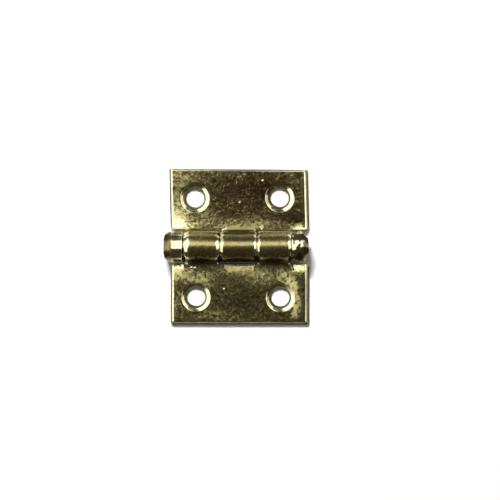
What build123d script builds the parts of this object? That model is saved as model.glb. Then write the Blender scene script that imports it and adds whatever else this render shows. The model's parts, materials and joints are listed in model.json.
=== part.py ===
from build123d import *
import os
from math import acos, atan2, cos, degrees, isclose, radians, sin, sqrt

# A small brass box hinge: two stamped leaves, rolled into knuckles round a headed pin.
# It lies open and flat, as it is screwed on. X runs along the pin, Y across the leaves
# and Z out of the front, where the barrel stands up and the holes are countersunk.
# The backs of both leaves lie on Z = 0. The origin is on that plane, under the pin's
# axis, midway between the screw holes. All sizes are in millimetres.

# Brass sheet and how it is rolled
sheet = 0.8  # thickness
bend_radius = 0.4  # inside, where a leaf turns up into a knuckle
tab_lead = 0.1  # flat run of a knuckle's tab before that bend
seam_gap = 0.1  # between the rolled end and the bend, on the back
edge_round = 0.3  # the leaf's front edge, drawn in by the stamping
knuckle_round = 0.3  # the same at the ends of the knuckles

# Leaves
leaf_length = 16.0  # along the pin
leaf_reach = 9.0  # from the pin's axis to the free edge
leaf_shift = 0.25  # from midway between the holes to the leaf's middle
leaf_gap = 0.12  # seen from the front, between a knuckle and the other leaf
corner_radius = 0.3  # at the free corners
shoulder_radius = 0.45  # at the corners beside the pin's ends

# Knuckles from left to right, with the end play as it lies
left_margin = 1.45  # from the leaf's left edge to the first knuckle
left_knuckle = 4.15
left_gap = 0.2
middle_knuckle = 4.05
right_gap = 0.1
right_knuckle = 3.9

# Holes for small countersunk screws
hole_diameter = 2.1
hole_spacing = 9.7  # along the pin
hole_line = 5.75  # from the pin's axis
countersink_diameter = 3.3
countersink_angle = 90

# Pin, with its made head on the left and its riveted tail on the right
pin_diameter = 1.9
pin_play = 0.05  # radial, in the knuckles
pin_end_gap = 0.05  # under the head and under the tail
head_length = 2.3
head_diameter = 3.56
head_crown = 0.15  # how far the middle of the head's end stands out
head_face_diameter = 2.4
head_slope = 0.5  # length of the slope from that end to the full diameter
head_soft = 0.25  # rounding at both ends of the slope
head_back_bevel = 0.15  # on the edge towards the knuckle
tail_length = 1.95
tail_diameter = 3.4
tail_neck_diameter = 3.1  # where the tail starts, at the knuckle
tail_swell = 1.35  # length over which it spreads to its shoulder
tail_shoulder_diameter = 3.2  # at the end of that spread
tail_face_diameter = 1.9
tail_dimple = 0.12  # depth of the hollow that the rivet punch left
tail_dimple_diameter = 1.1

# Worked out from the sizes above
bore_radius = pin_diameter / 2 + pin_play
barrel_radius = bore_radius + sheet
axis_height = barrel_radius  # so that the barrel is flush with the leaves' backs
inner_edge = barrel_radius + leaf_gap
bend_height = sheet + bend_radius
bend_reach = barrel_radius + bend_radius
bend_start = sqrt(bend_reach**2 - (axis_height - bend_height) ** 2)
tab_root = max(bend_start + tab_lead, inner_edge + edge_round)
left_start = leaf_shift - leaf_length / 2 + left_margin
middle_start = left_start + left_knuckle + left_gap
right_start = middle_start + middle_knuckle + right_gap
barrel_end = right_start + right_knuckle


def round_pin(radius, angle):
    """A point of a knuckle's section, at an angle round the pin's axis."""
    turn = radians(angle)
    return (radius * cos(turn), axis_height + radius * sin(turn))


def round_bend(radius, angle):
    """A point of a knuckle's section, at an angle round the centre of its bend."""
    turn = radians(angle)
    return (bend_start + radius * cos(turn), bend_height + radius * sin(turn))


def knuckle(start, length):
    """A tab of the sheet, bent up, rolled over the pin and back under it."""
    bend_back = bend_radius + sheet
    clear = bend_back + seam_gap
    touch = degrees(atan2(bend_height - axis_height, bend_start))
    seam = degrees(
        acos((bend_reach**2 + barrel_radius**2 - clear**2) / (2 * bend_reach * barrel_radius))
    )
    roll_end = touch - seam
    roll_middle = (touch + roll_end) / 2 + 180
    bend_foot = -90
    bend_top = touch - 180
    bend_middle = (bend_foot + bend_top) / 2
    with BuildPart() as tab:
        with BuildSketch(Plane.YZ.offset(start)):
            with BuildLine():
                lead = Line((tab_root, sheet), (bend_start, sheet))
                bend = ThreePointArc(
                    lead @ 1,
                    round_bend(bend_radius, bend_middle),
                    round_bend(bend_radius, bend_top),
                )
                roll = ThreePointArc(
                    bend @ 1,
                    round_pin(barrel_radius, roll_middle),
                    round_pin(barrel_radius, roll_end),
                )
                rolled_edge = Line(roll @ 1, round_pin(bore_radius, roll_end))
                bore = ThreePointArc(
                    rolled_edge @ 1,
                    round_pin(bore_radius, roll_middle),
                    round_bend(bend_back, bend_top),
                )
                back = ThreePointArc(
                    bore @ 1,
                    round_bend(bend_back, bend_middle),
                    round_bend(bend_back, bend_foot),
                )
                Polyline(back @ 1, (tab_root, 0), lead @ 0)
            make_face()
        extrude(amount=length)
        rims = tab.edges().filter_by(GeomType.CIRCLE)
        rims = rims.filter_by(lambda rim: isclose(rim.radius, barrel_radius))
        fillet(rims, knuckle_round)
    return tab.part


def leaf(knuckles):
    """A leaf that lies towards +Y, with a knuckle at each (start, length) given."""
    tabs = [knuckle(start, length) for start, length in knuckles]
    with BuildPart() as blank:
        with BuildSketch() as outline:
            with Locations((leaf_shift, inner_edge)):
                Rectangle(leaf_length, leaf_reach - inner_edge, align=(Align.CENTER, Align.MIN))
            fillet(outline.vertices().group_by(Axis.Y)[-1], corner_radius)
            fillet(outline.vertices().group_by(Axis.Y)[0], shoulder_radius)
        extrude(amount=sheet)
        fillet(blank.faces().sort_by(Axis.Z)[-1].edges(), edge_round)
        with BuildSketch():
            for start, length in knuckles:
                with Locations((start, 0)):
                    Rectangle(length, tab_root, align=Align.MIN)
        extrude(amount=sheet, mode=Mode.SUBTRACT)
        add(tabs)
        with Locations((0, hole_line, sheet)):
            with GridLocations(hole_spacing, 0, 2, 1):
                CounterSinkHole(
                    hole_diameter / 2,
                    countersink_diameter / 2,
                    counter_sink_angle=countersink_angle,
                )
    return blank.part


os.makedirs("parts", exist_ok=True)

# The leaf with the outer knuckles, which lies towards -Y
outer_leaf = leaf([(left_start, left_knuckle), (right_start, right_knuckle)])
with BuildPart() as two_knuckle_leaf:
    add(outer_leaf)
    mirror(about=Plane.XZ, mode=Mode.REPLACE)
two_knuckle_leaf.part.label = "two_knuckle_leaf"
export_step(two_knuckle_leaf.part, "parts/two_knuckle_leaf.step")

# The leaf with the middle knuckle, which swings on the pin
middle_leaf = leaf([(middle_start, middle_knuckle)])
with BuildPart() as one_knuckle_leaf:
    add(middle_leaf)
one_knuckle_leaf.part.label = "one_knuckle_leaf"
export_step(one_knuckle_leaf.part, "parts/one_knuckle_leaf.step")

# The pin, turned in one piece, with its tail hammered over after it was put in
head_back = left_start - pin_end_gap
head_end = head_back - head_length
tail_start = barrel_end + pin_end_gap
tail_end = tail_start + tail_length
shoulder_end = tail_start + tail_swell
axis_point = (0, 0, axis_height)
with BuildPart() as hinge_pin:
    with BuildSketch(Plane(axis_point, x_dir=(1, 0, 0), z_dir=(0, -1, 0))) as half_section:
        with BuildLine():
            crown = TangentArc(
                (head_end, 0), (head_end + head_crown, head_face_diameter / 2), tangent=(0, 1)
            )
            slope = Line(crown @ 1, (head_end + head_crown + head_slope, head_diameter / 2))
            head_side = Line(slope @ 1, (head_back, head_diameter / 2))
            shank = Polyline(
                head_side @ 1,
                (head_back, pin_diameter / 2),
                (tail_start, pin_diameter / 2),
                (tail_start, tail_neck_diameter / 2),
            )
            swell = ThreePointArc(
                shank @ 1,
                (tail_start + tail_swell / 2, tail_diameter / 2),
                (shoulder_end, tail_shoulder_diameter / 2),
            )
            peened = TangentArc(
                swell @ 1, (tail_end, tail_face_diameter / 2), tangent=swell % 1
            )
            rim = Line(peened @ 1, (tail_end, tail_dimple_diameter / 2))
            dimple = TangentArc(
                (tail_end - tail_dimple, 0), rim @ 1, tangent=(0, 1)
            )
            Line((tail_end - tail_dimple, 0), (head_end, 0))
        make_face()
        corners = half_section.vertices()
        slope_ends = [corners.sort_by_distance(point)[0] for point in (slope @ 0, slope @ 1)]
        fillet(slope_ends, head_soft)
        chamfer(half_section.vertices().sort_by_distance(head_side @ 1)[0], head_back_bevel)
    revolve(axis=Axis(axis_point, (1, 0, 0)))
hinge_pin.part.label = "hinge_pin"
export_step(hinge_pin.part, "parts/hinge_pin.step")
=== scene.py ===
"""The looks of the small brass box hinge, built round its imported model.

Both leaves are stamped blanks of sheet brass, cut out flat and rolled here round the pin,
and the pin is turned, with a made head and a tail that was hammered over. The hinge's sizes
are in millimetres up to the moment a mesh is made. The stage and the lamps are in metres.
"""

import json
from math import atan2, ceil, cos, exp, hypot, pi, radians, sin, sqrt, tan

import bpy
from mathutils import Matrix, Vector, noise
from mathutils.geometry import delaunay_2d_cdt


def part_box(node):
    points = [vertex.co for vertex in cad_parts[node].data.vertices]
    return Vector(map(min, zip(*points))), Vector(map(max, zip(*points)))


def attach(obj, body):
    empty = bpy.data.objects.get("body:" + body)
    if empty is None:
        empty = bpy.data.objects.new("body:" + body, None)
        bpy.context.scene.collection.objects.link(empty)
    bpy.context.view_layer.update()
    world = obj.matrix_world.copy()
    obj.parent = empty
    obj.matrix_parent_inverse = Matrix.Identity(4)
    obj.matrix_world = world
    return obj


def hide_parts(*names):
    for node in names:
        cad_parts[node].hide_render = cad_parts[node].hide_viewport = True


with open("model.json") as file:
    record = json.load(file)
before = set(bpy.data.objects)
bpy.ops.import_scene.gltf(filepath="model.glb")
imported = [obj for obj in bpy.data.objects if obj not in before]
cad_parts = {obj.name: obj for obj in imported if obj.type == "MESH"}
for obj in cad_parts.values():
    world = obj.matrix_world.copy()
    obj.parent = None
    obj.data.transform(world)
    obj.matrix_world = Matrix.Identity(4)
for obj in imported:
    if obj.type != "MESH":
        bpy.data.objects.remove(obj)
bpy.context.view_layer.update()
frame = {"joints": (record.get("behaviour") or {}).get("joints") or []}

MM = 0.001

# Sheet and roll
SHEET = 0.8
FRONT = SHEET / 2
BACK = -SHEET / 2
PIN_RADIUS = 0.95
BORE_RADIUS = 1.0
ROLL_MIDDLE = BORE_RADIUS + SHEET / 2
BEND_MIDDLE = 0.8
CURL_RADIUS = 9.0  # of the gentle rise that a leaf may have before its tight bend
SEAM_ANGLE = radians(305)  # where the rolled edge ends, seen round the pin
axis_height = frame["joints"][0]["pos_m"][2] / MM

# Outline of a blank
low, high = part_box("two_knuckle_leaf")
LEFT, RIGHT = low.x / MM, high.x / MM
REACH = -low.y / MM
INNER_EDGE = 1.92
CORNER = 0.22
SHOULDER = 0.5
NOTCH = 0.12
TAB_CORNER = 0.1
LEAST_CORNER = 0.012  # what is left of a corner's radius where its edge is drawn in by more

# Its edges, drawn in by the press on the front: a gentle slope, then a tighter round, and
# sheared metal below, painted near-black as shade. Each edge has its own (slope, round,
# shear_shade), which scale them.
EDGE_TILT = radians(34)  # where the gentle slope ends
SLOPE_WIDTH = 0.34
ROUND_WIDTH = 0.24
EDGE_STEPS = 6
BURNISH_STEPS = 2  # of those, over which the edge gets its shine
SHEAR_START = radians(38)  # from here the edge loses its polish and is painted dark as shade
SHEAR_END = radians(50)
SHEAR_MIDDLE = 0.6 * BACK  # height of a row of points part way down the sheared side
BURR = 0.04
ROLLED_EDGE = (0.3, 0.3, 1.0)

# Holes
HOLE_RADIUS = 1.05
SINK_RADIUS = 1.66
SINK_MIDDLE = 1.31  # where the shallow slope under the rim meets the steep foot
SINK_TILT = radians(29)
SINK_LIP = 0.05
LIP_STEPS = 4
SLOPE_END_SOFT = 0.4  # share of a burr's height at the end of the shallow slope
FOOT_TOP_SHEAR_SHADE = 0.6
FOOT_SOFT = 0.3  # share of a burr's width at the end of the steep foot
HOLE_POINTS = 96

# Waves of the pressed and tumbled sheet, as (length along x, length along s, seed, height)
WAVES = ((4.2, 3.1, 0.7, 0.012), (1.5, 1.2, 5.3, 0.004))
WAVES_RISE = 1.0  # how far beyond a knuckle they reach their full height

# Where the sheet was bent and rolled it is duller, from a little past the start of its bend
WORKED_FROM = 0.1
WORKED_OVER = 0.5

# Mesh steps
FLAT_STEP = 0.22
ROLL_STEP = 0.1
TAB_COLUMN = 0.34
CLEAR_OF_EDGE = 0.6 * FLAT_STEP
CORNER_POINTS = 9
TRIANGLES = 1  # the kind of result that is asked of delaunay_2d_cdt
MERGE_DISTANCE = 1e-6


class Roll:
    """How the sheet of a leaf rises from flat and goes round the pin."""

    def __init__(self, curl):
        self.bend_height = SHEET / 2 + CURL_RADIUS - (CURL_RADIUS - BEND_MIDDLE) * cos(curl)
        drop = axis_height - self.bend_height
        self.bend_out = sqrt((ROLL_MIDDLE + BEND_MIDDLE) ** 2 - drop**2)
        self.curl = curl
        self.curl_start = self.bend_out + (CURL_RADIUS - BEND_MIDDLE) * sin(curl)
        self.curl_run = CURL_RADIUS * curl
        self.bend_run = BEND_MIDDLE * (atan2(self.bend_out, -drop) - curl)
        self.roll_start = atan2(-drop, self.bend_out)
        roll_run = ROLL_MIDDLE * (SEAM_ANGLE - self.roll_start)
        self.tab_end = self.curl_start - self.curl_run - self.bend_run - roll_run

    def point(self, s, h, tab):
        """Distance from the axis and height of a point of the sheet.

        s runs along the middle of the sheet, and is the distance from the axis where the
        sheet is flat. h is the height over that middle, on the side of the front. tab is
        1 on a knuckle's tab and 0 on the edge between two tabs.
        """
        along = self.curl_start - s
        if along <= 0:
            return s, SHEET / 2 + h
        turn = min(along / CURL_RADIUS, self.curl)
        reach = CURL_RADIUS - h
        past_curl = along - self.curl_run
        straight = max(past_curl, 0)
        curled = (
            self.curl_start - reach * sin(turn) - straight * cos(turn),
            SHEET / 2 + CURL_RADIUS - reach * cos(turn) + straight * sin(turn),
        )
        if past_curl <= 0 or tab == 0:
            return curled
        if past_curl <= self.bend_run:
            turn = self.curl + past_curl / BEND_MIDDLE
            reach = BEND_MIDDLE - h
            rolled = (self.bend_out - reach * sin(turn), self.bend_height - reach * cos(turn))
        else:
            turn = self.roll_start + (past_curl - self.bend_run) / ROLL_MIDDLE
            reach = ROLL_MIDDLE + h
            rolled = (reach * cos(turn), axis_height + reach * sin(turn))
        return tuple(a + (b - a) * tab for a, b in zip(curled, rolled))


def tabness(x, knuckles):
    """1 within a knuckle's tab, falling to 0 a little way beside it."""
    beside = min(max(start - x, x - end, 0) for start, end, _, _ in knuckles)
    return max(0, 1 - beside / (2 * NOTCH))


def outline(knuckles, notches, borders, tab_end):
    """Corners of a blank, anticlockwise, as (x, s, radius, the edge that follows)."""
    corners = [(LEFT, INNER_EDGE, SHOULDER, notches[0])]
    for (start, end, start_edge, end_edge), notch in zip(knuckles, notches[1:]):
        corners += [
            (start, INNER_EDGE, NOTCH, start_edge),
            (start, tab_end, TAB_CORNER, ROLLED_EDGE),
            (end, tab_end, TAB_CORNER, end_edge),
            (end, INNER_EDGE, NOTCH, notch),
        ]
    right, far, left = borders
    corners.append((RIGHT, INNER_EDGE, SHOULDER, right))
    corners.append((RIGHT, REACH, CORNER, far))
    corners.append((LEFT, REACH, CORNER, left))
    return corners


def loop(corners, slope, round_off):
    """(x, s, edge) round that outline, moved in by so much of each edge's slope and round.

    The number of points doesn't depend on how far.
    """
    places = [Vector(corner[:2]) for corner in corners]
    arcs = []
    for i, (x, s, radius, edge) in enumerate(corners):
        here = places[i]
        edge, edge_before = Vector(edge), Vector(corners[i - 1][3])
        before = (here - places[i - 1]).normalized()
        after = (places[(i + 1) % len(places)] - here).normalized()
        side = Vector((-before.y, before.x))
        convex = before.cross(after) > 0
        inset_before = edge_before[0] * slope + edge_before[1] * round_off
        inset = edge[0] * slope + edge[1] * round_off
        corner = here + inset_before * side + inset * Vector((-after.y, after.x))
        shift = (inset_before + inset) / 2
        radius = max(radius - shift, LEAST_CORNER) if convex else radius + shift
        centre = corner - before * radius + side * (radius if convex else -radius)
        spoke = corner - before * radius - centre
        turn = pi / 2 if convex else -pi / 2
        arc = []
        for k in range(CORNER_POINTS):
            part = k / (CORNER_POINTS - 1)
            place = centre + Matrix.Rotation(turn * part, 2) @ spoke
            arc.append((*place, *edge_before.lerp(edge, part)))
        arcs.append(arc)
    points = []
    for i, arc in enumerate(arcs):
        points += arc
        start, end = Vector(arc[-1]), Vector(arcs[(i + 1) % len(arcs)][0])
        whole = places[(i + 1) % len(places)] - places[i]
        side_of_tab = abs(whole.y) > REACH - INNER_EDGE + SHEET
        step = ROLL_STEP if side_of_tab else FLAT_STEP
        count = ceil(whole.length / step)
        points += [start.lerp(end, k / count) for k in range(1, count)]
    return [(x, s, (slope, round_off, shear_shade)) for x, s, slope, round_off, shear_shade in points]


def edge_profile():
    """Rows of an edge from front to back.

    Each is ((inset and drop by the slope), (inset and drop by the round), h, shear_shade,
    burnish), where the drops are taken off h, and shear_shade is how far the sheared metal
    is painted dark as shade.
    """
    rows = []
    slope_radius = SLOPE_WIDTH / sin(EDGE_TILT)
    round_radius = ROUND_WIDTH / (1 - sin(EDGE_TILT))
    for k in range(2 * EDGE_STEPS + 1):
        if k <= EDGE_STEPS:
            tilt = EDGE_TILT * k / EDGE_STEPS
            slope = (SLOPE_WIDTH - slope_radius * sin(tilt), slope_radius * (1 - cos(tilt)))
            round_off = (ROUND_WIDTH, 0)
        else:
            tilt = EDGE_TILT + (pi / 2 - EDGE_TILT) * (k / EDGE_STEPS - 1)
            slope = (0, slope_radius * (1 - cos(EDGE_TILT)))
            round_drop = round_radius * (cos(EDGE_TILT) - cos(tilt))
            round_off = (round_radius * (1 - sin(tilt)), round_drop)
        shear_shade = min(1, max(0, (tilt - SHEAR_START) / (SHEAR_END - SHEAR_START)))
        rows.append((slope, round_off, FRONT, shear_shade, min(1, k / BURNISH_STEPS)))
    for inset, h, shear_shade in (
        (0, SHEAR_MIDDLE, 1),
        (0, BACK + BURR, 1),
        (BURR / 4, BACK + BURR / 4, 1),
        (BURR, BACK, 0),
    ):
        rows.append(((0, 0), (inset, 0), h, shear_shade, 0))
    return rows


def hole_profile():
    """(radius, h, shear_shade, burnish, share of the foot's shift) from front to back, where
    shear_shade is how far the metal is painted dark as shade.
    """
    middle = FRONT - (SINK_RADIUS - SINK_MIDDLE) * tan(SINK_TILT)
    foot = FRONT - (SINK_RADIUS - HOLE_RADIUS)
    lip = SINK_LIP * tan(SINK_TILT)
    rows = [(SINK_RADIUS + SINK_LIP, FRONT, 0, 0, 0)]
    for k in range(1, LIP_STEPS + 1):
        part = k / LIP_STEPS
        radius = SINK_RADIUS + SINK_LIP * (1 - 2 * part)
        rows.append((radius, FRONT - lip * part**2, 0, part, 0))
    rows += [
        ((SINK_RADIUS + SINK_MIDDLE) / 2, (FRONT - lip + middle) / 2, 0, 1, 0.5),
        (SINK_MIDDLE + BURR, middle + SLOPE_END_SOFT * BURR, 0, 1, 1),
        (SINK_MIDDLE - BURR / 2, middle - BURR / 2, FOOT_TOP_SHEAR_SHADE, 0, 1),
        (HOLE_RADIUS + FOOT_SOFT * BURR, foot + BURR, 1, 0, 0),
        (HOLE_RADIUS, foot, 1, 0, 0),
        (HOLE_RADIUS, BACK + BURR, 1, 0, 0),
        (HOLE_RADIUS + BURR, BACK, 0, 0, 0),
    ]
    return rows


def inside(point, ring):
    """Whether a point lies within a closed ring."""
    crossings = 0
    for a, b in zip(ring, ring[1:] + ring[:1]):
        if (a.y > point.y) != (b.y > point.y):
            if point.x < a.x + (point.y - a.y) * (b.x - a.x) / (b.y - a.y):
                crossings += 1
    return crossings % 2 == 1


def fill(rings, spots):
    """Triangles between closed rings, with more points at the spots."""
    points = [point for ring in rings for point in ring]
    edges = []
    first = 0
    for ring in rings:
        count = len(ring)
        edges += [(first + k, first + (k + 1) % count) for k in range(count)]
        first += count
    points = points + spots
    result = delaunay_2d_cdt(points, edges, [], TRIANGLES, MERGE_DISTANCE, True)
    places, _, faces, origins, _, _ = result
    kept = []
    for face in faces:
        middle = sum((places[k] for k in face), Vector((0, 0))) / len(face)
        if inside(middle, rings[0]) and not any(inside(middle, ring) for ring in rings[1:]):
            kept.append(face)
    return places, kept, origins


def spots_inside(knuckles, borders, tab_end, holes):
    """Points that a blank's faces get between their edges, clear of those edges."""

    def inset(edge):
        return edge[0] * SLOPE_WIDTH + edge[1] * ROUND_WIDTH

    edge = SLOPE_WIDTH + ROUND_WIDTH
    keep = edge + CLEAR_OF_EDGE
    right, far, left = (inset(border) + CLEAR_OF_EDGE for border in borders)
    clear = SINK_RADIUS + SINK_LIP + FLAT_STEP
    spots = []
    rows = int((REACH - INNER_EDGE) / FLAT_STEP)
    columns = int((RIGHT - LEFT) / FLAT_STEP)
    for row in range(rows + 1):
        for column in range(columns + 1):
            x = LEFT + (RIGHT - LEFT) * (column + 0.5 * (row % 2)) / columns
            s = INNER_EDGE + (REACH - INNER_EDGE) * row / rows
            in_tab = any(
                a + inset(a_edge) + FLAT_STEP / 2 < x < b - inset(b_edge) - FLAT_STEP / 2
                for a, b, a_edge, b_edge in knuckles
            )
            at_notch = s < INNER_EDGE + keep and not in_tab
            near_hole = any(hypot(x - hole[0], s - hole[1]) < clear for hole in holes)
            if LEFT + left < x < RIGHT - right and s < REACH - far and not at_notch:
                if not near_hole:
                    spots.append(Vector((x, s)))
    for start, end, start_edge, end_edge in knuckles:
        first, last = start + inset(start_edge), end - inset(end_edge)
        columns = ceil((last - first) / TAB_COLUMN)
        rows = int((INNER_EDGE - tab_end - edge) / ROLL_STEP)
        for row in range(1, rows):
            for column in range(1, columns):
                x = first + (last - first) * column / columns
                spots.append(Vector((x, tab_end + edge + row * ROLL_STEP)))
    return spots


def waviness(x, s, bends):
    """How far the sheet stands off flat, in its waves and at its (x, s, reaches, rise) bends."""
    off = 0
    for length_x, length_s, seed, height in WAVES:
        off += height * noise.noise(Vector((x / length_x, s / length_s, seed)))
    for bend_x, bend_s, reach_x, reach_s, rise in bends:
        off += rise * exp(-(((x - bend_x) / reach_x) ** 2) - ((s - bend_s) / reach_s) ** 2)
    return off


def make_leaf(
    name,
    body,
    side,
    knuckles,
    notches,
    borders,
    holes,
    bends,
    curl=0.0,
    lean=0.0,
    skew=0.0,
    longer=0.0,
):
    """A leaf with knuckles at these stretches, lying towards side, 1 or -1, of the axis.

    Each knuckle is (start, end, edge at its start, edge at its end). notches are the edges
    between and beside the knuckles, and borders the right, the far and the left edge. Each
    hole is (x, s, shift in x, shift in s), with the shifts of its countersink's foot. curl
    is the angle by which the leaf rises before its tight bend. lean and skew are how far out
    of square it was cut, and longer how much further it reaches.
    """
    roll = Roll(curl)
    corners = outline(knuckles, notches, borders, roll.tab_end)
    vertices = []
    shear_shades = []
    burnishes = []
    faces = []

    def strip(rows):
        """Adds closed rows of (vertex, shear, burnish), joined, and gives the outer two."""
        numbers = []
        for row in rows:
            numbers.append(range(len(vertices), len(vertices) + len(row)))
            vertices.extend(vertex for vertex, shear_shade, burnish in row)
            shear_shades.extend(shear_shade for vertex, shear_shade, burnish in row)
            burnishes.extend(burnish for vertex, shear_shade, burnish in row)
        for upper, lower in zip(numbers, numbers[1:]):
            count = len(upper)
            for k in range(count):
                nxt = (k + 1) % count
                faces.append((upper[k], upper[nxt], lower[nxt], lower[k]))
        return numbers[0], numbers[-1]

    rows = []
    for slope, round_off, h, shear_shade, burnish in edge_profile():
        row = []
        for x, s, (more_slope, more_round, more_shear_shade) in loop(corners, slope[0], round_off[0]):
            drop = more_slope * slope[1] + more_round * round_off[1]
            row.append(((x, s, h - drop), shear_shade * more_shear_shade, burnish))
        rows.append(row)
    rims = [strip(rows)]
    for hx, hs, shift_x, shift_s in holes:
        rings = []
        for radius, h, shear_shade, burnish, sunk in hole_profile():
            ring = []
            for k in range(HOLE_POINTS):
                turn = 2 * pi * k / HOLE_POINTS
                x = hx + shift_x * sunk + radius * cos(turn)
                s = hs + shift_s * sunk + radius * sin(turn)
                ring.append(((x, s, h), shear_shade, burnish))
            rings.append(ring)
        rims.append(strip(rings))

    spots = spots_inside(knuckles, borders, roll.tab_end, holes)
    for end, h in ((0, FRONT), (1, BACK)):
        known = [number for rim in rims for number in rim[end]]
        rings = [[Vector(vertices[number][:2]) for number in rim[end]] for rim in rims]
        places, triangles, origins = fill(rings, spots)
        numbers = []
        for place, origin in zip(places, origins):
            old = [number for number in origin if number < len(known)]
            if old:
                numbers.append(known[old[0]])
            else:
                numbers.append(len(vertices))
                vertices.append((place.x, place.y, h))
                shear_shades.append(0)
                burnishes.append(0)
        faces += [tuple(numbers[k] for k in triangle) for triangle in triangles]

    shaped = []
    worked = []
    rolled_from = roll.curl_start - roll.curl_run - 2 * SHEET
    for x, s, h in vertices:
        tab = tabness(x, knuckles)
        out, height = roll.point(s, h, tab)
        into_roll = min(1, max(0, (roll.curl_start - WORKED_FROM - s) / WORKED_OVER))
        worked.append(into_roll * tab)
        beyond = max(0, s - INNER_EDGE)
        fade = 1 - tab * (1 - min(1, beyond / WAVES_RISE))
        if s > rolled_from or not tab:
            height += waviness(x, s, bends) * fade * (h - BACK) / SHEET
        along = x + lean * beyond
        out += (skew * x + longer) * beyond / (REACH - INNER_EDGE)
        shaped.append((along * MM, out * side * MM, height * MM))
    return finish_mesh(
        name, shaped, faces, body, sheared=shear_shades, burnished=burnishes, worked=worked
    )


def finish_mesh(name, vertices, faces, body, **wear):
    """A smooth mesh object from vertices in metres, riding on a body of the hinge."""
    mesh = bpy.data.meshes.new(name)
    mesh.from_pydata(vertices, [], faces)
    piece = bpy.data.objects.new(name, mesh)
    bpy.context.collection.objects.link(piece)
    bpy.context.view_layer.objects.active = piece
    piece.select_set(True)
    bpy.ops.object.mode_set(mode="EDIT")
    bpy.ops.mesh.select_all(action="SELECT")
    bpy.ops.mesh.normals_make_consistent(inside=False)
    bpy.ops.object.mode_set(mode="OBJECT")
    piece.select_set(False)
    mesh.shade_smooth()
    for kind, amounts in wear.items():
        mesh.attributes.new(kind, "FLOAT", "POINT").data.foreach_set("value", amounts)
    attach(piece, body)
    return piece


# Pin: corners of its profile as (x, radius, softness), from the head's end to the tail's
HEAD_BACK = -6.32
HEAD_END = -8.53
TAIL_START = 6.12
TAIL_END = 8.1
PIN_CORNERS = [
    (HEAD_END, 0, 0),
    (HEAD_END + 0.03, 0.6, 0.3),
    (HEAD_END + 0.1, 1.22, 0.14),
    (HEAD_END + 0.42, 1.66, 0.2),
    (HEAD_END + 1.02, 1.8, 0.2),
    (HEAD_BACK, 1.8, 0.14),
    (HEAD_BACK, PIN_RADIUS, 0),
    (TAIL_START, PIN_RADIUS, 0),
    (TAIL_START, 1.56, 0.08),
    (TAIL_START + 0.7, 1.76, 0.3),
    (TAIL_START + 1.4, 1.66, 0.25),
    (TAIL_START + 1.72, 1.32, 0.16),
    (TAIL_END, 0.85, 0.14),
    (TAIL_END - 0.1, 0.42, 0.12),
    (TAIL_END - 0.12, 0, 0),
]
SOFT_POINTS = 6  # round each soft corner
PIN_POINTS = 144
PIN_STEP = 0.12
FLAT_TURN = radians(6.5)  # where the head is worn flat, from straight up towards +Y
FLAT_DEPTH = 1.73  # of that flat from the pin's axis
FLAT_WORN = 0.96  # share that is gone of what stood over it
HEAD_DULL = (1.0, 0.1)  # length of the head's dull end, and of its fading
TAIL_DULL = (0.6, 0.2)  # the same for the tail
NECK = 0.01  # length of the tail that the hammer didn't reach

# Hammer blows that spread the tail, each at an angle round the pin and one from its middle
# towards its end. Each leaves a flat at some depth from the tail's middle.
TAIL_MIDDLE = 6.95
BLOWS = 9
BLOW_TURN = radians(137.5)  # from one blow to the next, round the pin
FIRST_BLOW = radians(-8)
BLOW_RANGE = radians(70)
BLOW_DEPTH = 1.7
END_BLOW_DEEPER = 0.5
UNEVEN = 0.04
UNEVEN_TURN = 5.3
BLOW_FLATTENS = 0.7  # share that is gone of what stood over a blow's flat
ROUGH = 0.02
ROUGH_FINENESS = 2.6
ROUGH_SEED = Vector((1.7, 9.2, 2.2))
SWAY = 0.14  # of the tail out of true, to and fro along it
SWAY_LENGTH = 1.0
SWAY_FROM = 6.85


def pin_profile():
    """Points of that profile, with its corners rounded."""
    points = []
    places = [Vector(corner[:2]) for corner in PIN_CORNERS]
    for i, (x, radius, soft) in enumerate(PIN_CORNERS):
        here = places[i]
        if soft:
            start = here + (places[i - 1] - here).normalized() * soft
            end = here + (places[i + 1] - here).normalized() * soft
            for k in range(SOFT_POINTS):
                part = k / (SOFT_POINTS - 1)
                points.append(start.lerp(here, part).lerp(here.lerp(end, part), part))
        else:
            points.append(here)
    fine = [points[0]]
    for start, end in zip(points, points[1:]):
        count = max(1, ceil((end - start).length / PIN_STEP))
        fine += [start.lerp(end, k / count) for k in range(1, count + 1)]
    return fine


def beaten(place):
    """A point of the tail, in millimetres from the pin's axis, after the hammer's blows."""
    centre = Vector((TAIL_MIDDLE, 0, 0))
    arm = place - centre
    for k in range(BLOWS):
        turn = k * BLOW_TURN
        rise = FIRST_BLOW + BLOW_RANGE * (k + 0.5) / BLOWS
        blow = Vector((sin(rise), cos(rise) * cos(turn), cos(rise) * sin(turn)))
        depth = BLOW_DEPTH - END_BLOW_DEEPER * sin(max(rise, 0)) + UNEVEN * sin(UNEVEN_TURN * k)
        over = arm.dot(blow) - depth
        if over > 0:
            arm -= blow * over * BLOW_FLATTENS
    arm *= 1 + ROUGH * noise.noise(arm * ROUGH_FINENESS + ROUGH_SEED)
    arm.y += SWAY * sin(2 * pi * (place.x - SWAY_FROM) / SWAY_LENGTH) * min(1, arm.length)
    return centre + arm


def dulled(distance, dull):
    """How dull the pin is at a distance from an end, which is dull for (length, fading)."""
    length, fading = dull
    return (length - distance) / fading


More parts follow.
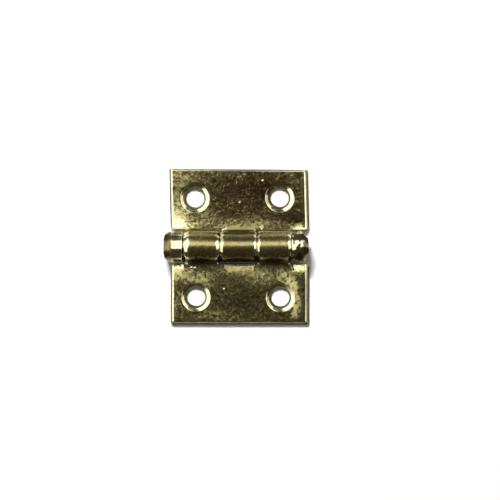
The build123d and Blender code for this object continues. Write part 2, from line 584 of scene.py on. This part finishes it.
def make_pin(name, body):
    """The pin, turned round its axis, with a worn head and its tail beaten out of round."""
    flat = Vector((0, sin(FLAT_TURN), cos(FLAT_TURN)))
    vertices = []
    worked = []
    faces = []
    rows = pin_profile()
    for place in rows[1:-1]:
        for k in range(PIN_POINTS):
            turn = 2 * pi * k / PIN_POINTS  # from straight up towards +Y
            point = Vector((place.x, place.y * sin(turn), place.y * cos(turn)))
            over = point.dot(flat) - FLAT_DEPTH
            if place.x < HEAD_BACK and over > 0:
                point -= flat * over * FLAT_WORN
            if place.x > TAIL_START + NECK:
                point = beaten(point)
            vertices.append((point.x * MM, point.y * MM, (axis_height + point.z) * MM))
            head_dull = dulled(point.x - HEAD_END, HEAD_DULL)
            tail_dull = dulled(TAIL_END - point.x, TAIL_DULL)
            worked.append(min(1, max(0, head_dull, tail_dull)))
    count = PIN_POINTS
    for row in range(len(rows) - 3):
        first, second = row * count, (row + 1) * count
        for k in range(count):
            nxt = (k + 1) % count
            faces.append((first + k, first + nxt, second + nxt, second + k))
    last = (len(rows) - 3) * count
    for end, first in ((rows[0], 0), (rows[-1], last)):
        vertices.append((end.x * MM, 0, axis_height * MM))
        worked.append(1)
        for k in range(count):
            faces.append((len(vertices) - 1, first + k, first + (k + 1) % count))
    return finish_mesh(name, vertices, faces, body, worked=worked)


class Value:
    """A number that varies over a surface. Arithmetic on it adds Math nodes."""

    def __init__(self, finish, socket):
        self.finish = finish
        self.socket = socket

    def joined(self, operation, first, second):
        """One Math node on two numbers, either of which may be plain."""
        return self.finish.node("ShaderNodeMath", {"operation": operation}, {0: first, 1: second})

    def __add__(self, other):
        return self.joined("ADD", self, other)

    def __radd__(self, other):
        return self.joined("ADD", other, self)

    def __sub__(self, other):
        return self.joined("SUBTRACT", self, other)

    def __rsub__(self, other):
        return self.joined("SUBTRACT", other, self)

    def __mul__(self, other):
        return self.joined("MULTIPLY", self, other)

    def __rmul__(self, other):
        return self.joined("MULTIPLY", other, self)


class Finish:
    """A material under construction."""

    def __init__(self, name):
        self.material = bpy.data.materials.new(name)
        self.material.use_nodes = True
        self.tree = self.material.node_tree
        self.tree.nodes.clear()

    def node(self, kind, settings=None, sockets=None, output=0):
        """Adds a node: first its settings, then a value or a link for each socket."""
        made = self.tree.nodes.new(kind)
        for name, value in (settings or {}).items():
            if name == "stops":
                ramp = made.color_ramp
                while len(ramp.elements) < len(value):
                    ramp.elements.new(0.5)
                for element, (position, level) in zip(ramp.elements, value):
                    element.position = position
                    element.color = (level, level, level, 1)
            else:
                setattr(made, name, value)
        for name, value in (sockets or {}).items():
            socket = made.inputs[name]
            if isinstance(value, Value):
                self.tree.links.new(value.socket, socket)
            elif socket.type == "RGBA":
                socket.default_value = (*value, 1)
            else:
                socket.default_value = value
        return Value(self, made.outputs[output]) if made.outputs else None

    def place(self, stretch=(1, 1, 1), turn=0.0):
        """The point of the surface in millimetres, turned and stretched."""
        here = self.node("ShaderNodeTexCoord", output="Object")
        scale = tuple(k / MM for k in stretch)
        return self.node(
            "ShaderNodeMapping", sockets={"Vector": here, "Scale": scale, "Rotation": (0, 0, turn)}
        )

    def noise(self, scale, detail=2.0, roughness=0.5, stretch=(1, 1, 1), turn=0.0):
        """A cloudy pattern, of about so many clouds to a millimetre."""
        sockets = {"Scale": scale, "Detail": detail, "Roughness": roughness}
        sockets["Vector"] = self.place(stretch, turn)
        return self.node("ShaderNodeTexNoise", sockets=sockets)

    def ramp(self, value, start, end):
        """0 up to start, 1 from end on."""
        return self.node("ShaderNodeValToRGB", {"stops": [(start, 0), (end, 1)]}, {"Fac": value})

    def spot(self, x, y, reach_x, reach_y):
        """1 at a point of a leaf, in millimetres, falling to 0 at its reach."""
        here = self.node("ShaderNodeTexCoord", output="Object")
        sockets = {"Vector": here, "Location": (x * MM, y * MM, 0)}
        sockets["Scale"] = (reach_x * MM, reach_y * MM, 1)
        apart = self.node("ShaderNodeMapping", {"vector_type": "TEXTURE"}, sockets)
        apart = self.node("ShaderNodeVectorMath", {"operation": "LENGTH"}, {0: apart}, "Value")
        sockets = {"Value": apart, "From Min": 1.0, "From Max": 0.0}
        return self.node("ShaderNodeMapRange", {"interpolation_type": "SMOOTHSTEP"}, sockets)

    def spots(self, spots):
        """The sum of some spots, given as (x, y, reach_x, reach_y, strength)."""
        return sum(self.spot(*spot[:4]) * spot[4] for spot in spots)

    def wear(self, kind):
        """How far a vertex shows one kind of wear, from 0 to 1."""
        return self.node("ShaderNodeAttribute", {"attribute_name": kind}, output="Fac")

    def blend(self, factor, first, second):
        """Mixes two colours."""
        settings = {"data_type": "RGBA", "clamp_factor": True}
        return self.node("ShaderNodeMix", settings, {0: factor, 6: first, 7: second}, 2)

    def bump(self, height, distance):
        """A relief of this pattern, so many millimetres deep."""
        return self.node(
            "ShaderNodeBump", sockets={"Strength": 1.0, "Distance": distance * MM, "Height": height}
        )

    def surface(self, **sockets):
        """The material, with this on the sockets of its shader."""
        sockets = {name.replace("_", " "): value for name, value in sockets.items()}
        shader = self.node("ShaderNodeBsdfPrincipled", sockets=sockets)
        self.node("ShaderNodeOutputMaterial", sockets={"Surface": shader})
        return self.material


YELLOW = (0.90, 0.81, 0.36)
# Burnished brass, which is also the colour of the painted highlights
BURNISHED_AND_HIGHLIGHT = (0.97, 0.91, 0.60)
OLIVE = (0.60, 0.545, 0.21)
DULL = (0.385, 0.325, 0.13)
PIT = (0.14, 0.10, 0.045)
# Painted shade: a near-black brown laid where shade falls
PAINTED_SHADE = (0.035, 0.027, 0.011)
# Painted shade on the sheared sides of the edges and in the bores
SHEARED_SHADE = (0.03, 0.026, 0.012)
# Bare metal of the nicks, and of the painted highlight line
BARE_AND_HIGHLIGHT = (0.95, 0.90, 0.78)
END_BROWN = (0.23, 0.175, 0.06)
SHADE_COVERS = 0.2  # share of metal still showing where the painted shade begins to hide its lustre

# How far each layer covers the sheet, and how much more or less where a pattern is strong
HAZE_COVER, HAZE_SPECKLE = 0.4, 1.15
PATCH_COVER, PATCH_CLOUDS, STROKES_CLEAR = 0.6, 0.5, 0.4
OLIVE_COVER, OLIVE_CLOUDS = 0.25, 0.6
PIT_COVER = 0.7
HAZE_HIDES = 0.5  # of the olive and the pits
WORKED_COVER, WORKED_CLOUDS = 0.75, 0.3
RUBBED_AND_HIGHLIGHT_COVER, RUBBED_AND_HIGHLIGHT_SPECKLE = 0.75, 0.25
NICK_AND_PAINTED_LINE_WHITE = 0.3  # share of a nick, and of the painted highlight line, that is pale instead of mirroring

# Relief and roughness of the sheet, with what each pattern and each kind of wear adds
GRAIN_RISE, STROKE_RISE, NICK_DROP = 0.5, 0.2, 1.2
SHEET_RELIEF = 0.024
SHEET_ROUGHNESS = 0.13
HAZE_ROUGHENS, SPECKLE_ROUGHENS = 0.22, 0.04
WORK_ROUGHENS, RUBBING_AND_HIGHLIGHT_SMOOTHS, SHEAR_ROUGHENS = 0.11, 0.03, 0.2

# The same for the pin
PIN_STAIN_COVER, PIN_PIT_COVER = 0.35, 0.6
END_COVER, END_STAINS = 0.8, 0.3
PIN_RELIEF = 0.012
PIN_ROUGHNESS = 0.11
STAIN_ROUGHENS, PIT_ROUGHENS, END_ROUGHENS = 0.05, 0.1, 0.2


def sheet_brass(name, hazes, dark_patches, patch_colour, olive, painted_shades, painted_highlights, nicks_and_painted_line):
    """Rolled brass sheet: polished, hazed and darkened in places, pitted and scratched, with
    painted shade, painted highlights, a painted highlight line among its nicks, and its
    sheared sides painted dark as shade.

    hazes, dark_patches, painted_shades, painted_highlights and nicks_and_painted_line are
    spots, each an ellipse on the open hinge: (x, y, reach along x, reach along y, strength).
    patch_colour and olive are colours.
    """
    finish = Finish(name)
    cloud = finish.ramp(finish.noise(0.5, detail=3.0, roughness=0.6), 0.34, 0.66)
    speckle = finish.ramp(finish.noise(2.3, detail=2.2, roughness=0.65), 0.36, 0.64)
    pits = finish.ramp(finish.noise(2.2, detail=1.5), 0.52, 0.66)
    brushed = finish.noise(1.0, roughness=0.6, stretch=(3.4, 1.5, 3), turn=0.15)
    strokes = finish.ramp(brushed, 0.5, 0.66)
    # Painted highlights, as spots
    painted_highlight = finish.spots(painted_highlights)
    haze = finish.spots(hazes) * (HAZE_COVER + HAZE_SPECKLE * speckle) * (1 - painted_highlight)
    # Darker patches; on the middle leaf, one is a painted dark reflection
    darkening = finish.spots(dark_patches) * (PATCH_COVER + PATCH_CLOUDS * cloud)
    # Nicks, and a painted highlight line
    nick_and_painted_line = finish.spots(nicks_and_painted_line)
    # Painted shade, as spots
    shade_mask = finish.spots(painted_shades)
    # The sheared sides, which are painted dark as shade
    shear_shade = finish.wear("sheared")
    # The edges' own burnish together with the painted highlights
    burnish = finish.wear("burnished") + painted_highlight
    worked = finish.wear("worked") * (1 - burnish)

    # From the metal outwards
    tone = finish.blend(OLIVE_COVER + OLIVE_CLOUDS * cloud - HAZE_HIDES * haze, YELLOW, olive)
    tone = finish.blend(darkening - STROKES_CLEAR * strokes, tone, patch_colour)
    tone = finish.blend(pits * (PIT_COVER - HAZE_HIDES * haze), tone, PIT)
    tone = finish.blend(worked * (WORKED_COVER + WORKED_CLOUDS * cloud), tone, DULL)
    tone = finish.blend(burnish * (RUBBED_AND_HIGHLIGHT_COVER + RUBBED_AND_HIGHLIGHT_SPECKLE * speckle), tone, BURNISHED_AND_HIGHLIGHT)
    # Painted shade, which also takes the metal's mirror away
    tone = finish.blend(shade_mask, tone, PAINTED_SHADE)
    # The bare nicks and the painted highlight line
    tone = finish.blend(nick_and_painted_line, tone, BARE_AND_HIGHLIGHT)
    # The sheared sides, painted dark as shade
    tone = finish.blend(shear_shade, tone, SHEARED_SHADE)

    hills = finish.noise(0.9, detail=3.0, roughness=0.55)
    grain = finish.noise(2.4, detail=3.0, roughness=0.6)
    height = hills + GRAIN_RISE * grain + STROKE_RISE * strokes - NICK_DROP * nick_and_painted_line
    rough = SHEET_ROUGHNESS + HAZE_ROUGHENS * haze + SPECKLE_ROUGHENS * speckle
    rough = rough + WORK_ROUGHENS * worked - RUBBING_AND_HIGHLIGHT_SMOOTHS * burnish + SHEAR_ROUGHENS * shear_shade
    return finish.surface(
        Base_Color=tone,
        Metallic=finish.ramp(1 - shade_mask, 0.0, SHADE_COVERS) * (1 - NICK_AND_PAINTED_LINE_WHITE * nick_and_painted_line),
        Roughness=rough,
        Specular_IOR_Level=0.0,
        Normal=finish.bump(height, SHEET_RELIEF),
    )


def turned_brass(name, painted_shades):
    """Turned brass: brighter than the sheet, with a few stains, dull at its ends, and painted shade
    in given spots.
    """
    finish = Finish(name)
    stains = finish.ramp(finish.noise(0.8, detail=3.0, roughness=0.6), 0.42, 0.68)
    pits = finish.ramp(finish.noise(3.4, roughness=0.6), 0.58, 0.72)
    worked = finish.wear("worked")
    # Painted shade, as spots
    shade_mask = finish.spots(painted_shades)
    tone = finish.blend(stains * PIN_STAIN_COVER, BURNISHED_AND_HIGHLIGHT, OLIVE)
    tone = finish.blend(pits * PIN_PIT_COVER, tone, PIT)
    tone = finish.blend(worked * (END_COVER + END_STAINS * stains), tone, END_BROWN)
    tone = finish.blend(shade_mask, tone, PAINTED_SHADE)
    rough = PIN_ROUGHNESS + STAIN_ROUGHENS * stains + PIT_ROUGHENS * pits
    return finish.surface(
        Base_Color=tone,
        Metallic=finish.ramp(1 - shade_mask, 0.0, SHADE_COVERS),
        Specular_IOR_Level=0.0,
        Roughness=rough + END_ROUGHENS * worked,
        Normal=finish.bump(finish.noise(1.6), PIN_RELIEF),
    )


# Edges of the leaves as (slope, round, shear_shade), the last for how dark their sheared sides are
# painted as shade
RIM = (0.8, 0.55, 0.0)
WIDE_RIM = (2.0, 0.75, 0.0)  # of the knuckle beside the pin's head
BORDER = (0.65, 0.8, 1.0)
outer = make_leaf(
    "outer_leaf_sheet",
    body="outer_leaf",
    side=-1,
    knuckles=[(-6.3, -2.04, WIDE_RIM, (1.3, 0.5, 0.0)), (2.17, 6.1, RIM, (1.0, 0.5, 0.0))],
    notches=[(0.1, 0.25, 0.2), (0.05, 0.15, 0.2), (0.1, 0.3, 0.2)],
    borders=[(0.6, 1.5, 1.0), (0.5, 1.1, 1.0), BORDER],
    longer=-0.1,
    holes=[(-4.83, 5.84, -0.09, 0.0), (4.9, 5.9, -0.09, 0.0)],
    bends=[
        (-7.4, 1.5, 1.8, 1.0, -0.22),
        (7.1, 1.5, 1.3, 1.0, -0.22),
        (0.4, 1.8, 3.4, 1.1, -0.06),
        (0.3, 1.75, 3.0, 0.4, -0.034),
    ],
)
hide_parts("two_knuckle_leaf")
outer.data.materials.append(
    sheet_brass(
        "outer_leaf_brass",
        hazes=[
            (-7.0, -2.8, 2.6, 1.7, 1.0),
            (-4.4, -3.9, 2.6, 1.6, 0.7),
            (0.2, -2.4, 4.0, 1.1, 0.6),
            (2.8, -3.4, 3.4, 1.8, 0.4),
            (5.6, -3.6, 1.7, 1.8, 0.8),
            (6.2, -4.6, 1.0, 1.4, 1.4),
            (6.6, -6.5, 1.1, 2.8, 1.25),
            (-7.2, -6.2, 1.8, 3.6, 0.3),
            (-2.0, -8.0, 6.0, 1.6, 0.3),
            (0.5, -5.5, 14.0, 9.0, 0.16),
        ],
        # A darker, greener patch over the middle of the leaf
        dark_patches=[(0.6, -6.6, 6.5, 3.8, 0.75)],
        patch_colour=(0.26, 0.295, 0.11),
        olive=(0.56, 0.57, 0.21),
        # Painted shade, where shade falls: in the creases where the knuckles rise, along edges,
        # round the knuckles' ends and in the countersinks
        painted_shades=[
            # Where the knuckles rise from the leaf, and along its right edge
            (-4.2, -1.55, 3.3, 0.7, 1.3),
            (4.1, -1.55, 3.3, 0.7, 1.3),
            (7.85, -5.5, 0.4, 7.0, 0.6),
            # Along the far side of the knuckles
            (0.0, 1.9, 9.0, 0.3, 1.1),
            (0.0, 0.87, 12.0, 0.4, 0.8),
            (0.0, 1.37, 12.0, 0.3, 0.5),
            # Round the knuckles' ends
            (-2.1, 1.6, 0.35, 0.6, 1.2),
            (-2.1, -1.3, 0.4, 0.8, 1.3),
            (2.25, 1.6, 0.35, 0.6, 1.0),
            (2.25, -1.3, 0.4, 0.8, 1.3),
            (-6.2, -1.3, 0.4, 0.7, 1.3),
            (6.0, -1.3, 0.4, 0.7, 1.3),
            # In the countersinks
            (-4.83, -7.45, 0.9, 0.45, 0.85),
            (4.9, -7.5, 0.9, 0.45, 0.85),
        ],
        # Painted highlights: pale patches at the leaf's corners by the pin's head and tail, and a
        # line along the edge under the middle knuckle
        painted_highlights=[
            (-6.9, -2.2, 1.3, 0.6, 1.0),
            (6.9, -2.2, 0.7, 0.7, 1.0),
            (0.3, -2.0, 2.6, 0.25, 1.0),
        ],
        nicks_and_painted_line=[
            (-5.4, -2.27, 0.2, 0.17, 1.0),
            (-5.02, -2.3, 0.22, 0.17, 1.0),
            # A painted highlight: a long pale line along the edge under the middle knuckle
            (0.25, -2.04, 3.0, 0.17, 0.9),
            (-1.64, -4.77, 0.14, 0.14, 0.8),
            (2.96, -3.1, 0.13, 0.13, 0.7),
        ],
    )
)
middle = make_leaf(
    "middle_leaf_sheet",
    body="middle_leaf",
    side=1,
    knuckles=[(-2.02, 2.15, (1.0, 0.4, 0.0), (0.8, 0.4, 0.0))],
    notches=[(0.25, 0.35, 0.3), (0.1, 0.2, 0.3)],
    borders=[(0.6, 1.4, 1.0), (0.4, 0.6, 0.15), BORDER],
    holes=[(-4.86, 5.6, -0.09, 0.0), (4.9, 5.69, -0.09, 0.0)],
    bends=[
        (-7.9, 1.5, 2.4, 1.6, 0.32),
        (7.1, 1.65, 0.9, 0.35, 0.13),
        (-1.5, 1.9, 0.3, 0.3, 0.07),
        (2.5, 2.0, 0.3, 0.28, 0.075),
    ],
    curl=radians(4),
    lean=-0.024,
    skew=-0.0095,
)
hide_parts("one_knuckle_leaf")
middle.data.materials.append(
    sheet_brass(
        "middle_leaf_brass",
        hazes=[
            (-7.6, 3.7, 2.4, 1.8, 0.8),
            (-6.9, 5.2, 2.4, 3.0, 0.5),
            (-4.2, 3.4, 3.0, 1.7, 0.4),
            (-1.4, 2.5, 3.6, 1.1, 0.4),
            (2.2, 2.6, 5.5, 1.6, 0.45),
            (-6.5, 8.0, 3.0, 1.6, 0.5),
        ],
        # The first patch is a painted dark reflection over the middle of the leaf, the second a
        # darker patch towards its right end
        dark_patches=[(1.5, 6.6, 7.5, 4.6, 1.0), (6.0, 3.4, 3.6, 2.4, 0.8)],
        patch_colour=(0.24, 0.145, 0.075),
        olive=OLIVE,
        # Painted shade, where shade falls: along the knuckle and round its ends, on the edge beside
        # it, in the corner by the pin's tail, in the countersinks and along the free edge
        painted_shades=[
            # Along the knuckle, and round its ends
            (0.1, 1.65, 3.6, 0.6, 1.4),
            (0.1, 0.8, 5.0, 0.4, 0.9),
            (0.1, -1.5, 4.5, 0.6, 1.3),
            (-2.0, -1.3, 0.4, 0.8, 1.3),
            (2.1, -1.3, 0.4, 0.8, 1.3),
            # On the leaf's edge beside it, and in the corner by the pin's tail
            (-4.3, 1.8, 2.6, 0.25, 1.1),
            (4.2, 1.8, 2.4, 0.25, 1.1),
            (-7.4, 1.8, 1.4, 0.14, 0.9),
            (6.8, 2.9, 1.3, 0.7, 0.45),
            # In the countersinks, and along the free edge
            (-4.95, 4.0, 0.9, 0.45, 0.85),
            (4.8, 4.1, 0.9, 0.45, 0.85),
            (0.0, 8.8, 9.5, 0.3, 0.6),
        ],
        # Painted highlights: pale patches at the leaf's corners by the pin's head and tail, and
        # small spots on the edge beside the knuckle
        painted_highlights=[
            (-6.9, 2.6, 1.7, 1.3, 1.0),
            (7.0, 2.0, 1.0, 0.3, 1.0),
            (-5.8, 2.07, 0.3, 0.3, 1.0),
            (-1.5, 2.15, 0.35, 0.35, 1.0),
            (2.48, 2.13, 0.4, 0.4, 1.0),
        ],
        nicks_and_painted_line=[(2.82, 7.73, 0.16, 0.16, 1.0), (0.17, 5.2, 0.16, 0.12, 0.8)],
    )
)
pin = make_pin("riveted_pin", "outer_leaf")
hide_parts("hinge_pin")
pin.data.materials.append(
    turned_brass(
        "pin_brass",
        # Painted shade on the head's slope and sides and all round the tail, leaving a bright
        # stretch on the tail's top
        painted_shades=[
            # On the head's slope, and then along its sides
            (-8.3, 1.05, 0.8, 0.75, 1.5),
            (-8.3, -0.85, 0.8, 0.85, 1.5),
            (-7.2, 1.35, 1.4, 0.5, 0.9),
            (-7.2, 0.86, 1.2, 0.3, 1.0),
            (-7.2, -1.4, 1.4, 0.45, 0.85),
            # All round the tail, apart from a bright stretch on top
            (7.55, -0.55, 0.85, 0.9, 1.6),
            (6.7, -0.9, 0.9, 0.7, 1.2),
            (7.0, -1.4, 1.4, 0.6, 1.1),
            (6.9, 1.2, 1.3, 0.6, 1.3),
            (7.6, 1.2, 0.8, 0.6, 1.3),
            (7.95, 0.75, 0.5, 0.75, 1.4),
            (7.0, 0.93, 1.8, 0.28, 1.3),
            (7.6, -0.25, 0.9, 0.35, 1.1),
            (6.6, -0.5, 1.2, 0.35, 1.1),
            (8.05, -0.4, 0.3, 0.5, 1.2),
        ],
    )
)

# Stage, in metres: a pale round floor that turns up into a low wall, open on the
# photographer's side
FLOOR_RADIUS = 1.5
WALL_HEIGHT = 0.22
COVE = 0.08
COVE_STEPS = 8
FLOOR_RINGS = (0.05, 0.3)
STAGE_POINTS = 96
OPENING = 1.3  # how soon the wall sinks away towards the photographer
STAGE_COLOUR = (0.93, 0.93, 0.93)
STAGE_GLOW = (0.02, 0.02, 0.02)  # seen by the camera and in the metal only
BLACK = (0, 0, 0)


def make_stage():
    """That floor and its wall, in one piece."""
    rows = [(radius, 0.0) for radius in (*FLOOR_RINGS, FLOOR_RADIUS - COVE)]
    for k in range(1, COVE_STEPS + 1):
        turn = pi / 2 * k / COVE_STEPS
        rows.append((FLOOR_RADIUS - COVE + COVE * sin(turn), COVE * (1 - cos(turn))))
    rows.append((FLOOR_RADIUS, WALL_HEIGHT))
    count = STAGE_POINTS
    vertices = []
    faces = []
    for radius, height in rows:
        for k in range(count):
            turn = 2 * pi * k / count
            standing = min(1, max(0, 1 + OPENING * sin(turn)))
            vertices.append((radius * cos(turn), radius * sin(turn), height * standing))
    centre = len(vertices)
    vertices.append((0, 0, 0))
    for k in range(count):
        faces.append((centre, k, (k + 1) % count))
    for row in range(len(rows) - 1):
        for k in range(count):
            nxt = (k + 1) % count
            a, b = row * count, (row + 1) * count
            faces.append((a + k, b + k, b + nxt, a + nxt))
    mesh = bpy.data.meshes.new("pale_cove")
    mesh.from_pydata(vertices, [], faces)
    mesh.shade_smooth()
    cove = bpy.data.objects.new("pale_cove", mesh)
    bpy.context.collection.objects.link(cove)
    return cove


def stage_white():
    """A white that keeps its shadows, and looks white to the camera and in the metal."""
    finish = Finish("stage_white")
    paths = "ShaderNodeLightPath"
    camera = finish.node(paths, output="Is Camera Ray")
    glossy = finish.node(paths, output="Is Glossy Ray")
    through = finish.node(paths, output="Is Transmission Ray")
    seen = finish.blend(camera + glossy + through, BLACK, STAGE_GLOW)
    return finish.surface(
        Base_Color=STAGE_COLOUR,
        Roughness=0.9,
        Specular_IOR_Level=0.0,
        Emission_Color=seen,
        Emission_Strength=1.0,
    )


make_stage().data.materials.append(stage_white())


def panel(name, towards, distance, size, radiance, seen_by):
    """A soft panel lamp that faces the hinge, and stands towards a direction from it.

    seen_by is "metal" for a lamp that shows only as a reflection, "floor" for one that
    lights only what is dull, and "both".
    """
    lamp = bpy.data.lights.new(name, "AREA")
    lamp.shape = "RECTANGLE"
    lamp.size, lamp.size_y = size
    lamp.energy = radiance * pi * size[0] * size[1]
    holder = bpy.data.objects.new(name, lamp)
    bpy.context.collection.objects.link(holder)
    direction = Vector(towards).normalized()
    holder.location = direction * distance
    holder.rotation_euler = direction.to_track_quat("Z", "Y").to_euler()
    holder.visible_glossy = seen_by != "floor"
    holder.visible_diffuse = seen_by != "metal"
    return holder


def towards(azimuth, zenith):
    """A direction from its azimuth, seen from +X towards +Y, and its angle from straight up."""
    azimuth, zenith = radians(azimuth), radians(zenith)
    return (cos(azimuth) * sin(zenith), sin(azimuth) * sin(zenith), cos(zenith))


# Lamps, in degrees and metres: (name, azimuth, angle from straight up, distance, size,
# radiance, seen by)
LAMPS = [
    ("key_panel", 96, 22, 0.6, (0.8, 0.26), 1.5, "both"),
    ("left_panel", 160, 48, 0.8, (1.6, 0.8), 1.4, "metal"),
    ("right_panel", 22, 48, 0.8, (0.85, 0.8), 1.4, "metal"),
    ("back_panel", 92, 58, 0.8, (0.9, 0.45), 0.2, "metal"),
    ("shadow_lamp", 107, 42, 0.8, (0.2, 0.07), 180, "floor"),
]
for lamp_name, azimuth, zenith, *rest in LAMPS:
    panel(lamp_name, towards(azimuth, zenith), *rest)

ROOM_LIGHT = (0.044, 0.033, 0.026, 1)
world = bpy.data.worlds.new("studio")
world.use_nodes = True
world.node_tree.nodes["Background"].inputs["Color"].default_value = ROOM_LIGHT
bpy.context.scene.world = world
bpy.context.scene.view_settings.view_transform = "Standard"

# Camera: straight above, where the photograph was taken from
PIXEL = 0.11577  # millimetres of the leaves' plane to one pixel of the photograph
FRAME_PIXELS = 500
CENTRE = (1.389, -0.359)
FOCAL = 100
SENSOR = 36
camera_height = FRAME_PIXELS * PIXEL * FOCAL / SENSOR
lens = bpy.data.cameras.new("overhead")
lens.lens = FOCAL
lens.sensor_width = SENSOR
lens.clip_start = MM
overhead = bpy.data.objects.new("overhead", lens)
bpy.context.collection.objects.link(overhead)
overhead.location = (CENTRE[0] * MM, CENTRE[1] * MM, camera_height * MM)
bpy.context.scene.camera = overhead
